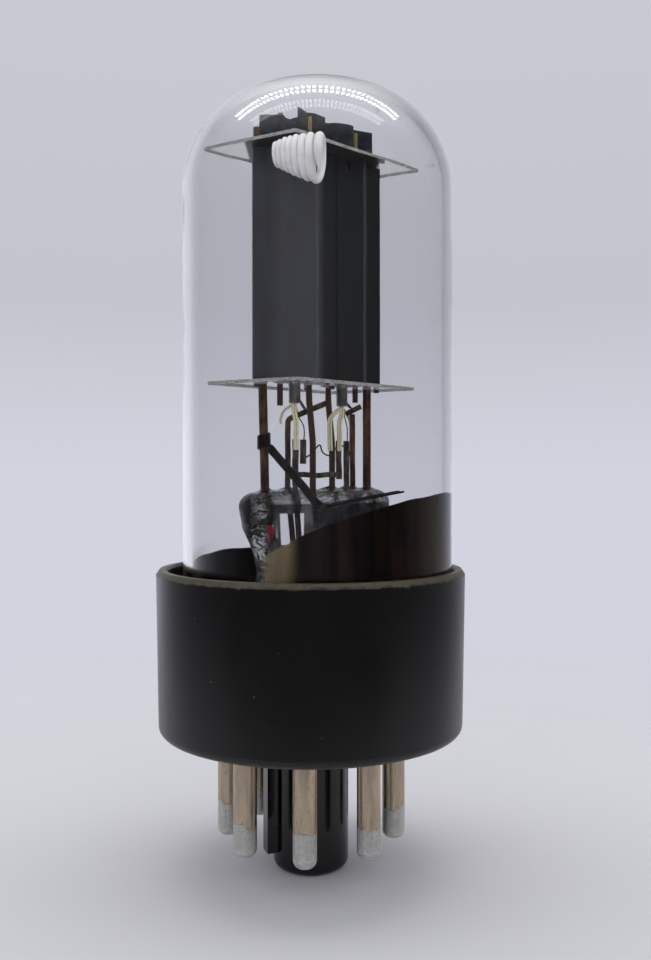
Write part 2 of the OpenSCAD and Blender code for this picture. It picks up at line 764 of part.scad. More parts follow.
cathode_tab(RIGHT);  // right_cathode_tab
getter_strap();
getter_trough();
getter_flash();
mica_spring();
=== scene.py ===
"""The looks of an octal-base double triode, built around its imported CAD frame.

Shapes are worked out in millimetres in the frame's own axes and turned to metres when a mesh
is made. +Z is up, +X is right and +Y points away from someone who faces the tube.
"""

import json
import math

import bmesh
import bpy
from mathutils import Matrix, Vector, noise


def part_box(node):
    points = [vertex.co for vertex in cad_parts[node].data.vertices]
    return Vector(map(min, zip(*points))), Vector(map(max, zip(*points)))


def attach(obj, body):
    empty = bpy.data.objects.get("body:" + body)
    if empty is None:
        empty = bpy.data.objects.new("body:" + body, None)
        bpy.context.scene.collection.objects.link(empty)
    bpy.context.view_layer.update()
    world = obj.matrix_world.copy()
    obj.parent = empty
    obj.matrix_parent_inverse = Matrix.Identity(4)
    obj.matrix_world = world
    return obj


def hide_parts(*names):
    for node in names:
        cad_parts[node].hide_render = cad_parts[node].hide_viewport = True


MM = 0.001
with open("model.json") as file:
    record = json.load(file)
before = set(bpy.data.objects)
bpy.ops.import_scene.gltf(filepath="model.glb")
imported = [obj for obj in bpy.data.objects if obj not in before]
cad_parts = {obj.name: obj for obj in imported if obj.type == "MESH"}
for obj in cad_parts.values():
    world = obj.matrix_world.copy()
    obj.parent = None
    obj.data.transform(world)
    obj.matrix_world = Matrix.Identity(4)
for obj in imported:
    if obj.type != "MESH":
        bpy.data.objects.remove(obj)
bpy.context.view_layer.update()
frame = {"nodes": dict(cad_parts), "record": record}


# ---- places taken from the frame -------------------------------------------------------


def corners(node):
    """Lowest and highest corner of a CAD node in millimetres."""
    low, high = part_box(node)
    return low / MM, high / MM


def middle(node):
    low, high = corners(node)
    return (low + high) / 2


class Unit:
    """One triode: u runs along its anode's flanges, v to the back, from the cathode's axis."""

    def __init__(self, name, outer_rod, side):
        centre = middle(f"{name}_cathode").to_2d()
        self.centre = centre
        self.u = (middle(outer_rod).to_2d() - centre).normalized() * side
        self.v = Vector((-self.u.y, self.u.x))

    def at(self, u, v, z):
        place = self.centre + self.u * u + self.v * v
        return Vector((place.x, place.y, z))


LEFT = Unit("left", "left_grid_rod_left", -1)
RIGHT = Unit("right", "right_grid_rod_right", 1)
UNITS = {"left": LEFT, "right": RIGHT}
BULB_LOW, BULB_HIGH = corners("glass_bulb")
BULB_X = (BULB_LOW.x + BULB_HIGH.x) / 2
BULB_R = (BULB_HIGH.y - BULB_LOW.y) / 2
BULB_WALL = 0.95
BASE_TOP = corners("base_shell")[1].z
MICA_UNDER = corners("upper_mica")[0].z          # underside of the upper mica
PINCH_X, PINCH_Y, PINCH_TOP = 0.75, -0.3, 39.8   # the pinch's axis and its upper edge
SEAL_TOP = 38.0


# ---- mesh building ---------------------------------------------------------------------


def headings(path):
    """The direction of a path at each of its points."""
    last = len(path) - 1
    return [(path[min(i + 1, last)] - path[max(i - 1, 0)]).normalized() for i in range(last + 1)]


def flat_section(p, ahead, across, width, thick):
    """Corners of a flat strip's section at p. across is the direction of its width."""
    side = (across - across.dot(ahead) * ahead).normalized() * width / 2
    up = ahead.cross(side).normalized() * thick / 2
    return [p + side + up, p - side + up, p - side - up, p + side - up]


class Solid:
    """Closed shapes gathered into one mesh, in millimetres."""

    def __init__(self):
        self.points = []
        self.faces = []
        self.marks = []

    def rings(self, rings, loop=False, marks=None):
        """Skins rings of equal length. The end rings are closed by a fan, or joined by loop."""
        first, n = len(self.points), len(rings[0])
        for ring in rings:
            self.points.extend(ring)
        self.marks.extend(marks or [1.0] * (n * len(rings)))
        last = len(rings) if loop else len(rings) - 1
        for i in range(last):
            a, b = first + i * n, first + (i + 1) % len(rings) * n
            for k in range(n):
                m = (k + 1) % n
                self.faces.append((a + k, a + m, b + m, b + k))
        if not loop:
            for start, flip in ((first, True), (first + (len(rings) - 1) * n, False)):
                ring = list(range(start, start + n))
                centre = sum((Vector(self.points[i]) for i in ring), Vector()) / n
                self.points.append(centre)
                self.marks.append(1.0)
                hub = len(self.points) - 1
                for k in range(n):
                    pair = (ring[k], ring[(k + 1) % n])
                    self.faces.append((hub, *(reversed(pair) if flip else pair)))

    def lathe(self, outline, centre, steps, move):
        """Turns an outline of (radius, z) about a vertical axis. move(p) shifts each point."""
        rings = []
        for r, z in outline:
            ring = []
            for k in range(steps):
                a = 2 * math.pi * k / steps
                p = Vector((centre[0] + r * math.cos(a), centre[1] + r * math.sin(a), z))
                ring.append(p + move(p))
            rings.append(ring)
        self.rings(rings)

    def tube(self, path, radius, sides=12):
        """Sweeps a round section along a path. radius is a number or one per point."""
        path = [Vector(p) for p in path]
        radii = radius if isinstance(radius, list) else [radius] * len(path)
        across = None
        rings = []
        for p, ahead, r in zip(path, headings(path), radii):
            if across is None:
                across = Vector((1, 0, 0)) if abs(ahead.x) < 0.8 else Vector((0, 0, 1))
            across = (across - across.dot(ahead) * ahead).normalized()
            up = ahead.cross(across)
            rings.append([
                p + r * (math.cos(a) * across + math.sin(a) * up)
                for a in (2 * math.pi * k / sides for k in range(sides))
            ])
        self.rings(rings)

    def strip(self, path, width, thick, across):
        """A flat strip that follows a path. across is the direction of its width."""
        path = [Vector(p) for p in path]
        across = Vector(across).normalized()
        self.rings([flat_section(p, ahead, across, width, thick)
                    for p, ahead in zip(path, headings(path))])

    def build(self, name, crease=40.0, bevel=0.0):
        """Makes the Blender object, smooth except across edges sharper than crease."""
        mesh = bpy.data.meshes.new(name)
        mesh.from_pydata([Vector(p) * MM for p in self.points], [], self.faces)
        mark = mesh.attributes.new("mark", "FLOAT", "POINT")
        mark.data.foreach_set("value", self.marks)
        work = bmesh.new()
        work.from_mesh(mesh)
        bmesh.ops.recalc_face_normals(work, faces=work.faces)
        work.to_mesh(mesh)
        work.free()
        mesh.polygons.foreach_set("use_smooth", [True] * len(mesh.polygons))
        mesh.set_sharp_from_angle(angle=math.radians(crease))
        obj = bpy.data.objects.new(name, mesh)
        bpy.context.scene.collection.objects.link(obj)
        if bevel:
            cut = obj.modifiers.new("edges", "BEVEL")
            cut.width = bevel * MM
            cut.segments = 2
            cut.limit_method = "ANGLE"
        return obj


def curve_through(points, per):
    """A smooth path through the points, with `per` steps between each two."""
    points = [Vector(p) for p in points]
    ends = [2 * points[0] - points[1]] + points + [2 * points[-1] - points[-2]]
    path = []
    for i in range(1, len(ends) - 2):
        a, b, c, d = ends[i - 1 : i + 3]
        for k in range(per):
            t = k / per
            path.append(0.5 * (2 * b + (c - a) * t + (2 * a - 5 * b + 4 * c - d) * t**2
                               + (3 * b - a - 3 * c + d) * t**3))
    return path + [points[-1]]


def eased(points, reach):
    """The path with its inner corners rounded off, starting `reach` before each."""
    points = [Vector(p) for p in points]
    path = [points[0]]
    for i in range(1, len(points) - 1):
        p = points[i]
        back, on = points[i - 1] - p, points[i + 1] - p
        a = p + min(reach, back.length / 2.1) * back.normalized()
        b = p + min(reach, on.length / 2.1) * on.normalized()
        for k in range(7):
            t = k / 6
            path.append((1 - t) ** 2 * a + 2 * t * (1 - t) * p + t**2 * b)
    return path + [points[-1]]


def fine_steps(path, step):
    """The same path with more points, about `step` mm apart."""
    fine = [path[0]]
    for a, b in zip(path, path[1:]):
        steps = max(int((b - a).length / step), 1)
        fine += [a.lerp(b, k / steps) for k in range(1, steps + 1)]
    return fine


def drift(p, size, seed):
    """Smooth unevenness between -1 and 1 at a place, with bumps about `size` mm across."""
    return noise.noise(Vector(p) / size + Vector((seed, 2 * seed, 3 * seed)))


# ---- materials -------------------------------------------------------------------------


class Paint:
    """A material under construction. Most calls add one node and return its output."""

    def __init__(self, name):
        self.material = bpy.data.materials.new(name)
        self.material.use_nodes = True
        self.tree = self.material.node_tree
        self.tree.nodes.clear()
        self.place = self.node("TexCoord").outputs["Object"]

    def node(self, kind, settings=None, **inputs):
        node = self.tree.nodes.new("ShaderNode" + kind)
        for key, value in (settings or {}).items():
            setattr(node, key, value)
        for key, value in inputs.items():
            self.feed(node.inputs[key.replace("_", " ")], value)
        return node

    def feed(self, socket, value):
        if isinstance(value, bpy.types.NodeSocket):
            self.tree.links.new(value, socket)
        elif isinstance(value, tuple) and len(value) == 3 and socket.type == "RGBA":
            socket.default_value = (*value, 1.0)
        else:
            socket.default_value = value

    def math(self, operation, a, b=0.0, c=0.0):
        node = self.node("Math", {"operation": operation})
        for socket, value in zip(node.inputs, (a, b, c)):
            self.feed(socket, value)
        return node.outputs[0]

    def times(self, first, *others):
        """The product of all the values."""
        for value in others:
            first = self.math("MULTIPLY", first, value)
        return first

    def inverse(self, value):
        return self.math("SUBTRACT", 1.0, value)

    def length(self, vector):
        return self.node("VectorMath", {"operation": "LENGTH"}, Vector=vector).outputs["Value"]

    def mark(self):
        """The number that each point of a mesh carries."""
        return self.node("Attribute", {"attribute_name": "mark"}).outputs["Fac"]

    def stretched(self, x, y, z):
        """The place in the frame, scaled by axis. Larger numbers make finer grain."""
        node = self.node("Mapping", Vector=self.place)
        node.inputs["Scale"].default_value = (x, y, z)
        return node.outputs[0]

    def grain(self, size, detail=3.0, rough=0.55, place=None, distort=0.0):
        """Noise between 0 and 1, with patches about `size` mm across."""
        node = self.node("TexNoise", Vector=place or self.place, Scale=1 / (size * MM),
                         Detail=detail, Roughness=rough, Distortion=distort)
        return node.outputs["Fac"]

    def specks(self, size, share):
        """1 in small round specks, 0 elsewhere. share is the radius against the spacing."""
        node = self.node("TexVoronoi", Vector=self.place, Scale=1 / (size * MM))
        return self.between(node.outputs["Distance"], share, share * 0.6)

    def between(self, value, low, high, to_low=0.0, to_high=1.0):
        """Eases from to_low to to_high while value goes from low to high."""
        node = self.node("MapRange", {"interpolation_type": "SMOOTHSTEP"})
        for socket, item in zip(node.inputs[:5], (value, low, high, to_low, to_high)):
            self.feed(socket, item)
        return node.outputs[0]

    def part(self, axis, vector=None):
        """One coordinate of a vector, or of the place in the frame."""
        node = self.node("SeparateXYZ")
        self.feed(node.inputs[0], vector or self.place)
        return node.outputs[axis]

    def along(self, axis, low, high, to_low=0.0, to_high=1.0):
        """Eases from to_low to to_high between two places on an axis, in millimetres."""
        return self.between(self.part(axis), low * MM, high * MM, to_low, to_high)

    def within(self, axis, low, high, soft):
        """1 between two places on an axis, fading out over `soft` mm beyond them."""
        return self.times(self.along(axis, low - soft, low), self.along(axis, high + soft, high))

    def blend(self, share, a, b):
        node = self.node("Mix", {"data_type": "RGBA"})
        self.feed(node.inputs[0], share)
        self.feed(node.inputs[6], a)
        self.feed(node.inputs[7], b)
        return node.outputs[2]

    def bump(self, height, depth, strength, below=None):
        """depth is in millimetres. below is another bump that this one lies on."""
        node = self.node("Bump", Height=height, Strength=strength, Distance=depth * MM)
        if below:
            self.feed(node.inputs["Normal"], below)
        return node.outputs[0]

    def facing_up(self):
        """1 where the surface faces straight up or down, 0 on its edges."""
        normal = self.node("NewGeometry").outputs["Normal"]
        return self.between(self.math("ABSOLUTE", self.part("Z", normal)), 0.4, 0.8)

    def principled(self, **inputs):
        return self.node("BsdfPrincipled", **inputs).outputs[0]

    def clear(self, colour=(1.0, 1.0, 1.0)):
        return self.node("BsdfTransparent", Color=colour).outputs[0]

    def mixed(self, share, first, second):
        """Two shaders in one, with the second one's share."""
        node = self.node("MixShader")
        for socket, item in zip(node.inputs, (share, first, second)):
            self.feed(socket, item)
        return node.outputs[0]

    def lit_through(self, body, tint):
        """Glass that only tints the light of a lamp that shines through it."""
        return self.mixed(self.node("LightPath").outputs["Is Shadow Ray"], body, self.clear(tint))

    def close(self, shader):
        out = self.node("OutputMaterial")
        self.feed(out.inputs["Surface"], shader)
        return self.material


def phenolic():
    """Satin black moulding: flow marks, scratches, dust, worn rims, and a glossier spigot."""
    p = Paint("phenolic")
    flow = p.grain(6.0, 4, place=p.stretched(1, 1, 0.35))
    fine = p.grain(0.35, 2)
    scratch = p.between(p.grain(1.2, 2, 0.8, p.stretched(0.5, 0.5, 9), 1.5), 0.66, 0.72)
    dust = p.specks(1.7, 0.045)
    rim_z, foot_z = BASE_TOP, 14.5               # the rubbed edges of the outer wall
    wobble = p.math("MULTIPLY_ADD", p.grain(1.1, 4), 0.9 * MM, -0.45 * MM)
    z = p.math("ADD", p.part("Z"), wobble)
    rim = p.between(z, (rim_z - 0.62) * MM, (rim_z - 0.30) * MM)
    foot = p.times(p.between(z, (foot_z + 0.42) * MM, (foot_z + 0.16) * MM),
                   p.between(z, (foot_z - 0.6) * MM, (foot_z - 0.2) * MM))
    outer = p.between(p.length(p.stretched(1, 1, 0)), 10 * MM, 12 * MM)
    worn = p.times(p.math("MAXIMUM", rim, p.times(foot, 0.7)), outer,
                   p.between(p.grain(0.5, 5, 0.7), 0.25, 0.6, 0.45, 1.0))
    colour = p.blend(flow, (0.0016, 0.0015, 0.0017), (0.0030, 0.0028, 0.0030))
    colour = p.blend(worn, colour, (0.060, 0.052, 0.030))
    colour = p.blend(p.times(dust, 0.35), colour, (0.30, 0.29, 0.27))
    rough = p.between(flow, 0.3, 0.7, 0.30, 0.38)
    rough = p.math("ADD", rough, p.times(worn, 0.16))
    rough = p.math("ADD", rough, p.times(scratch, 0.08))
    rough = p.math("SUBTRACT", rough, p.times(p.inverse(outer), 0.22))
    normal = p.bump(flow, 0.03, 0.25)
    normal = p.bump(fine, 0.004, 0.5, normal)
    normal = p.bump(p.math("ADD", scratch, worn), 0.012, 0.4, normal)
    return p.close(p.principled(Base_Color=colour, Roughness=rough, Normal=normal,
                                IOR=1.5, Specular_IOR_Level=0.42))


def nickel_pin():
    """Drawn, rubbed nickel plate over brass, with a dipped film of solder at its lower end."""
    p = Paint("pin_nickel")
    lines = p.grain(0.16, 3, 0.6, p.stretched(1, 1, 0.035))
    broad = p.grain(0.9, 3, 0.6, p.stretched(1, 1, 0.15))
    fleck = p.between(p.grain(0.22, 4, 0.7, p.stretched(1, 1, 0.35)), 0.62, 0.69)
    colour = p.blend(lines, (0.37, 0.28, 0.18), (0.72, 0.60, 0.46))
    colour = p.blend(p.between(broad, 0.35, 0.7), colour, (0.40, 0.33, 0.25))
    colour = p.blend(p.times(fleck, 0.85), colour, (0.06, 0.05, 0.04))
    dip = p.math("ADD", p.part("Z"), p.times(p.grain(2.2, 3, 0.6), 3.2 * MM))
    dipped = p.between(dip, 8.0 * MM, 7.75 * MM)
    tin = p.blend(p.grain(0.35, 4, 0.7), (0.42, 0.40, 0.37), (0.86, 0.84, 0.80))
    tin = p.blend(p.between(p.grain(0.15, 3, 0.7), 0.62, 0.68), tin, (0.10, 0.09, 0.08))
    colour = p.blend(dipped, colour, tin)
    rough = p.between(lines, 0.3, 0.7, 0.22, 0.40)
    rough = p.math("ADD", rough, p.times(p.math("MAXIMUM", fleck, dipped), 0.18))
    normal = p.bump(lines, 0.02, 0.5)
    normal = p.bump(p.times(dipped, p.grain(0.4, 3)), 0.05, 0.8, normal)
    return p.close(p.principled(Base_Color=colour, Metallic=1.0, Roughness=rough, Normal=normal))


def solder():
    """Dull tin-lead solder with a mottled, slightly lumpy skin."""
    p = Paint("solder")
    patch = p.grain(0.5, 4, 0.65)
    pit = p.between(p.grain(0.16, 3, 0.7), 0.62, 0.70)
    colour = p.blend(p.between(patch, 0.3, 0.7), (0.50, 0.49, 0.46), (0.74, 0.73, 0.70))
    colour = p.blend(p.times(pit, 0.7), colour, (0.16, 0.15, 0.13))
    rough = p.between(patch, 0.3, 0.7, 0.34, 0.55)
    normal = p.bump(patch, 0.05, 0.6)
    return p.close(p.principled(Base_Color=colour, Metallic=0.85, Roughness=rough,
                                Normal=normal))


def cement():
    """Crumbly brown cement between the bulb and the base."""
    p = Paint("cement")
    body = p.grain(0.7, 6, 0.7)
    colour = p.blend(body, (0.040, 0.033, 0.025), (0.10, 0.082, 0.058))
    return p.close(p.principled(Base_Color=colour, Roughness=0.85,
                                Normal=p.bump(body, 0.15, 0.8)))


def bulb_glass():
    """Clear, faintly rippled glass that looks darker where it is seen at a slant."""
    p = Paint("bulb_glass")
    tint, edge_share = (0.935, 0.94, 0.95), 0.79
    slant = p.node("LayerWeight", Blend=0.5).outputs["Facing"]
    colour = p.blend(p.between(slant, 0.35, 0.95), tint, tuple(edge_share * c for c in tint))
    smear = p.between(p.grain(5.0, 5, 0.7, p.stretched(1, 1, 0.5)), 0.60, 0.80, 0.0, 0.02)
    body = p.principled(Base_Color=colour, Transmission_Weight=1.0, IOR=1.5, Roughness=smear,
                        Normal=p.bump(p.grain(9.0, 2, 0.4), 0.05, 0.6))
    return p.close(p.lit_through(body, colour))


def pressed_glass():
    """The stem: lumpy glass with painted shade in its middle and on its left lobe, pale swirls
    that are partly painted glints, and two clear openings.
    """
    p = Paint("stem_glass")
    swirl = p.grain(1.1, 4, 0.62, p.stretched(0.8, 0.8, 1.5), 1.6)
    left = p.along("X", -3.4, -3.9)
    # painted shade on the left lobe, with pale streaks on it that are painted glints
    streak = p.times(p.between(swirl, 0.46, 0.54), p.within("X", -5.6, -3.9, 0.4))
    painted_lobe_shade = p.blend(streak, (0.014, 0.017, 0.014), (0.97, 0.97, 0.95))
    # a pale crust at the right of the top, whose bright and dark swirls are partly painted glints
    # and painted shade
    crust_with_painted_glints = p.blend(p.between(swirl, 0.46, 0.53), (0.02, 0.017, 0.014), (0.97, 0.95, 0.92))
    far = p.times(p.along("X", 3.0, 5.5), p.along("Z", 36.5, 38.0))
    # painted shade: a near-black tint for the dark that is seen through the middle of the pinch
    dark = p.times(p.within("X", -3.9, 9.0, 0.15), p.within("Z", 33.0, 38.1, 0.3))
    tint = p.blend(left, (0.98, 0.975, 0.97), painted_lobe_shade)
    tint = p.blend(p.times(far, 0.8), tint, crust_with_painted_glints)
    tint = p.blend(p.times(dark, 0.97), tint, (0.003, 0.003, 0.003))
    body = p.principled(Base_Color=tint, Transmission_Weight=1.0, IOR=1.52,
                        Roughness=p.between(swirl, 0.3, 0.7, 0.0, 0.03),
                        Normal=p.bump(swirl, 0.3, 0.8))
    glass = p.lit_through(body, (0.85, 0.85, 0.85))
    opening = p.times(p.within("X", -3.2, -0.7, 0.15), p.within("Z", 33.5, 37.2, 0.2))
    seal = p.times(p.within("X", -4.4, -3.7, 0.15), p.within("Z", 34.5, 36.1, 0.2))
    thin = p.math("MAXIMUM", p.times(opening, 0.92), p.times(seal, 0.8))
    return p.close(p.mixed(thin, glass, p.clear()))


def seal_red():
    """Seal wires: red oxidised copper low down on the left, and dark elsewhere."""
    p = Paint("dumet")
    patch = p.grain(0.5, 4, 0.6, p.stretched(1, 1, 0.4))
    colour = p.blend(p.between(patch, 0.35, 0.65), (0.50, 0.012, 0.010), (0.80, 0.05, 0.03))
    bare = p.math("MAXIMUM", p.along("Z", 36.0, 36.5), p.along("X", -3.2, -2.6))
    colour = p.blend(bare, colour, (0.045, 0.022, 0.018))
    return p.close(p.principled(Base_Color=colour, Roughness=0.35, Metallic=0.2,
                                Normal=p.bump(patch, 0.03, 0.5)))


def metal(name, dark, light, size, rough, stretch=1.0, metallic=1.0, depth=0.02, fleck=0.0,
          fleck_colour=(0.05, 0.045, 0.04)):
    """Worn wire or sheet: two tones in patches, drawn out along Z by stretch, and flecks."""
    p = Paint(name)
    patch = p.grain(size, 4, 0.6, p.stretched(1, 1, 1 / stretch))
    colour = p.blend(p.between(patch, 0.32, 0.68), dark, light)
    if fleck:
        spot = p.between(p.grain(size * 0.4, 3, 0.7), 0.62, 0.70)
        colour = p.blend(p.times(spot, fleck), colour, fleck_colour)
    low, high = rough
    return p.close(p.principled(
        Base_Color=colour, Metallic=metallic, Roughness=p.between(patch, 0.3, 0.7, low, high),
        Normal=p.bump(patch, depth, 0.6)))


def grid_rod():
    """Bright gold copper above the upper mica, oxidised brown below the lower one."""
    p = Paint("grid_rod_copper")
    patch = p.grain(0.5, 4, 0.6, p.stretched(1, 1, 0.3))
    gold = p.blend(patch, (0.75, 0.46, 0.14), (0.98, 0.80, 0.45))
    brown = p.blend(patch, (0.075, 0.040, 0.026), (0.24, 0.125, 0.075))
    up = p.along("Z", 52.0, 72.0)
    return p.close(p.principled(
        Base_Color=p.blend(up, brown, gold), Metallic=0.9,
        Roughness=p.between(up, 0, 1, 0.42, 0.20), Normal=p.bump(patch, 0.02, 0.5)))


def mica_sheet():
    """Split mica: clear faces, layered grey-brown edges, soot on the middle of the upper one."""
    p = Paint("mica")
    cloud = p.grain(3.0, 5, 0.6)
    layers = p.grain(0.5, 3, 0.6, p.stretched(1, 1, 16))
    face = p.blend(p.between(cloud, 0.3, 0.7), (0.74, 0.72, 0.71), (0.92, 0.90, 0.89))
    edge = p.blend(p.between(layers, 0.35, 0.65), (0.14, 0.125, 0.115), (0.58, 0.56, 0.53))
    colour = p.blend(p.facing_up(), edge, face)
    solid = p.principled(Base_Color=colour, Roughness=p.between(cloud, 0.3, 0.7, 0.14, 0.30),
                         Normal=p.bump(cloud, 0.03, 0.3))
    pane = p.mixed(p.times(p.facing_up(), 0.86), solid, p.clear((0.985, 0.98, 0.975)))
    sooty = p.times(p.along("X", -6.6, -6.2), p.along("X", 7.3, 6.9), p.along("Z", 60, 61),
                    p.facing_up(), p.between(p.grain(0.8, 4, 0.7), 0.25, 0.6, 0.75, 1.0))
    soot = p.principled(Base_Color=p.blend(cloud, (0.014, 0.011, 0.010), (0.035, 0.028, 0.024)),
                        Roughness=0.4)
    return p.close(p.mixed(sooty, pane, soot))


def carbonised():
    """Carbon-blackened sheet: soft satin, clouded on the left unit, with painted shade that makes
    the right one darker.
    """
    p = Paint("carbonised_sheet")
    cloud = p.grain(4.0, 4, 0.6, p.stretched(1, 1, 0.45))
    fine = p.grain(0.22, 3, 0.6)
    dust = p.specks(1.3, 0.05)
    colour = p.blend(p.between(cloud, 0.45, 0.68), (0.050, 0.055, 0.064), (0.060, 0.042, 0.032))
    # painted shade: the sheet of the right unit is darkened
    right = p.along("X", 0.8, 1.6, 0.0, 0.8)
    colour = p.blend(right, colour, (0.002, 0.002, 0.002))
    colour = p.blend(p.times(dust, 0.5), colour, (0.28, 0.27, 0.26))
    rough = p.between(fine, 0.3, 0.7, 0.30, 0.44)
    return p.close(p.principled(Base_Color=colour, Roughness=rough, IOR=1.6,
                                Specular_IOR_Level=0.55, Normal=p.bump(fine, 0.015, 0.6)))


def white_coat():
    """Fired white coating on the coil: chalky, with faint stains."""
    p = Paint("white_coat")
    chalk = p.grain(0.12, 4, 0.65)
    stain = p.grain(1.6, 4, 0.6)
    colour = p.blend(p.between(stain, 0.35, 0.7), (0.96, 0.95, 0.92), (0.84, 0.82, 0.78))
    return p.close(p.principled(Base_Color=colour, Roughness=0.42, IOR=1.5,
                                Normal=p.bump(chalk, 0.03, 0.7)))


def cream_coat():
    """Cream coating on the heater wires, which are bare where their mark is 0."""
    p = Paint("heater_coat")
    chalk = p.grain(0.1, 3, 0.6)
    colour = p.blend(p.grain(0.8, 3), (0.56, 0.47, 0.20), (0.86, 0.82, 0.60))
    coated = p.mark()
    colour = p.blend(coated, (0.12, 0.11, 0.11), colour)
    return p.close(p.principled(Base_Color=colour, Roughness=0.5,
                                Metallic=p.inverse(coated),
                                Normal=p.bump(chalk, 0.02, 0.6)))


def getter_film():
    """The mirror on the glass: near-black metal, brown and hazy where it is thin."""
    p = Paint("getter_mirror")
    streak = p.grain(1.5, 3, 0.6, p.stretched(1, 1, 0.10))
    tone = p.blend(p.between(streak, 0.35, 0.7), (0.018, 0.014, 0.012), (0.070, 0.042, 0.026))
    off = p.math("ABSOLUTE", p.math("SUBTRACT", p.part("X"), 8.3 * MM))
    gold = p.times(p.between(off, 0.9 * MM, 0.1 * MM), p.inverse(p.along("Z", 33.5, 35.5)))
    tone = p.blend(p.times(gold, 0.5), tone, (0.10, 0.035, 0.012))
    teal = p.times(p.along("Y", -1, 3), p.along("Z", 31.5, 32.6))
    tone = p.blend(teal, tone, (0.008, 0.016, 0.020))
    mirror = p.principled(Base_Color=tone, Metallic=0.9,
                          Roughness=p.between(streak, 0.3, 0.7, 0.10, 0.22),
                          Normal=p.bump(streak, 0.01, 0.3))
    haze = p.principled(Base_Color=p.blend(streak, (0.12, 0.090, 0.045), (0.27, 0.195, 0.090)),
                        Roughness=0.45)
    thickness = p.mark()
    dense = p.math("MAXIMUM", p.between(thickness, 0.45, 0.95), p.along("X", -2.2, -0.8))
    film = p.mixed(dense, haze, mirror)
    return p.close(p.mixed(p.between(thickness, 0.02, 0.5), p.clear(), film))


MATERIALS = {
    "phenolic": phenolic(),
    "pin_nickel": nickel_pin(),
    "solder": solder(),
    "cement": cement(),
    "bulb_glass": bulb_glass(),
    "stem_glass": pressed_glass(),
    "dumet": seal_red(),
    "copper_wire": metal("copper_wire", (0.20, 0.10, 0.06), (0.60, 0.34, 0.20), 0.6,
                         (0.25, 0.45)),
    "oxidised_rod": metal("oxidised_rod", (0.070, 0.042, 0.028), (0.28, 0.155, 0.095), 0.7,
                          (0.28, 0.48), stretch=3.0, metallic=0.85, fleck=0.6),
    "mica": mica_sheet(),
    "carbonised_sheet": carbonised(),
    "nickel_sleeve": metal("nickel_sleeve", (0.26, 0.24, 0.21), (0.48, 0.45, 0.41), 0.7,
                           (0.32, 0.5), stretch=2.0),
    "heater_coat": cream_coat(),
    "nickel_tape": metal("nickel_tape", (0.10, 0.088, 0.07), (0.30, 0.26, 0.21), 0.5,
                         (0.3, 0.5), stretch=2.0, metallic=0.9, depth=0.03, fleck=0.5),
    "dark_wire": metal("dark_wire", (0.035, 0.034, 0.034), (0.10, 0.095, 0.09), 0.4,
                       (0.3, 0.5)),
    "grid_wire": metal("grid_wire", (0.30, 0.27, 0.22), (0.55, 0.50, 0.42), 0.5, (0.3, 0.5)),
    "grid_rod_copper": grid_rod(),
    "fin_sheet": metal("fin_sheet", (0.014, 0.015, 0.019), (0.036, 0.039, 0.050), 1.1,
                       (0.34, 0.5), stretch=1.5, metallic=0.35, fleck=0.4,
                       fleck_colour=(0.20, 0.18, 0.16)),
    "getter_metal": metal("getter_metal", (0.012, 0.011, 0.011), (0.040, 0.037, 0.036), 0.6,
                          (0.30, 0.45), stretch=1.5, metallic=0.8),
    "getter_mirror": getter_film(),
    "white_coat": white_coat(),
}


def dress(obj, slot):
    obj.data.materials.clear()
    obj.data.materials.append(MATERIALS[slot])


def add(obj, slot, *nodes):
    """Gives a new piece its finish and its place in the frame."""
    dress(obj, slot)
    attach(obj, "root")
    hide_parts(*nodes)
    return obj


for entry in frame["record"]["subparts"]:
    dress(frame["nodes"][entry["node"]], entry["material_slot"])


# ---- glass -----------------------------------------------------------------------------


def make_bulb():
    """Blown bulb: straight wall, round shoulder, low crown, and a faint unevenness."""
    crown_r, shoulder_r = 21.0, 10.4
    top, low = BULB_HIGH.z, BULB_LOW.z
    side_rings, shoulder_rings, crown_rings = 24, 22, 14
    reach = BULB_R - shoulder_r
    rise = math.sqrt((crown_r - shoulder_r) ** 2 - reach**2)
    meet = math.atan2(rise, reach)
    hub = top - crown_r + rise

    def wall(inset):
        """Half outline from the lower edge up to the crown."""
        side = [(BULB_R - inset, low + (hub - low) * i / side_rings) for i in range(side_rings)]
        shoulder = [(reach + (shoulder_r - inset) * math.cos(a),
                     hub + (shoulder_r - inset) * math.sin(a))
                    for a in (meet * i / shoulder_rings for i in range(shoulder_rings))]
        crown = [((crown_r - inset) * math.cos(a), top - crown_r + (crown_r - inset) * math.sin(a))
                 for a in (meet + (math.pi / 2 - meet) * i / crown_rings
                           for i in range(crown_rings))]
        return side + shoulder + crown

    def uneven(p):
        out = Vector((p.x - BULB_X, p.y, max(p.z - hub, 0))).normalized()
        return out * (0.012 * drift(p, 9.0, 1.0) - 0.012)

    glass = Solid()
    glass.lathe(wall(BULB_WALL)[::-1] + wall(0), (BULB_X, 0), 192, move=uneven)
    add(glass.build("bulb", 60), "bulb_glass", "glass_bulb")


# Where the eight leads stand on the pinch, in (x, y)
LEADS = [Vector(p[:2]) for p in (
    LEFT.at(-2.9, 0.66, 0), (-2.34, -2.1), LEFT.at(-0.05, -0.4, 0), (0.24, -2.74),
    (2.24, 0.94), RIGHT.at(0.6, 0.2, 0), (4.48, 2.75), RIGHT.at(3.2, 0.66, 0))]


